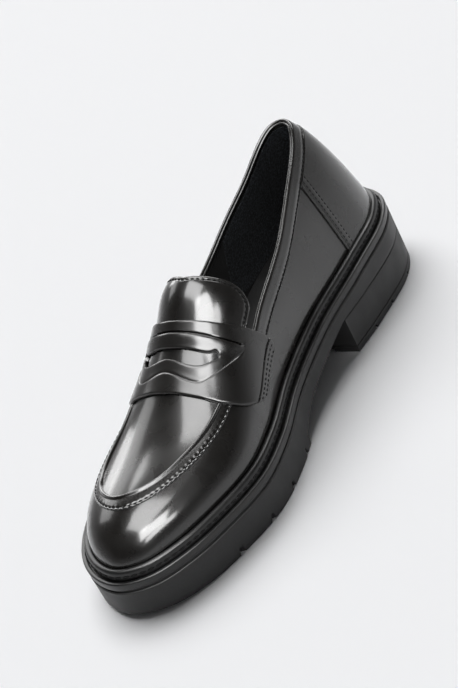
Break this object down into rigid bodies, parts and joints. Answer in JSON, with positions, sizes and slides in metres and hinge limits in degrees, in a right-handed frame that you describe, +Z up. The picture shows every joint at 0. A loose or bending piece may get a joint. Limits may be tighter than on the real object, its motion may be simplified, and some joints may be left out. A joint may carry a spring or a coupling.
{
  "type": "lug sole loafer",
  "caption": "Slip-on loafer for the right foot with a moccasin apron, a penny strap with an opening, and a thick lugged rubber sole with a block heel.",
  "frame": {"origin": "centre of the box's underside, on the floor", "axes": "+Z up, the toe points to -Y, +X is the wearer's left, which is the inner side of this right shoe"},
  "size_m": [0.0919, 0.278, 0.1027],
  "materials": {
    "sole_rubber": "matt black moulded rubber",
    "lip_rubber": "black moulded rubber with a soft sheen",
    "lining": "matt black lining leather",
    "upper_leather": "polished black leather",
    "overlay_leather": "polished black leather"
  },
  "bodies": {
    "root": {"outsole": "sole_rubber", "heel_block": "sole_rubber", "heel_top_piece": "sole_rubber", "midsole": "lip_rubber", "welt": "lip_rubber", "insole": "lining", "upper": "upper_leather", "counter": "overlay_leather", "collar_band": "overlay_leather", "apron_band": "overlay_leather", "tongue": "overlay_leather", "strap": "overlay_leather"}
  },
  "joints": []
}
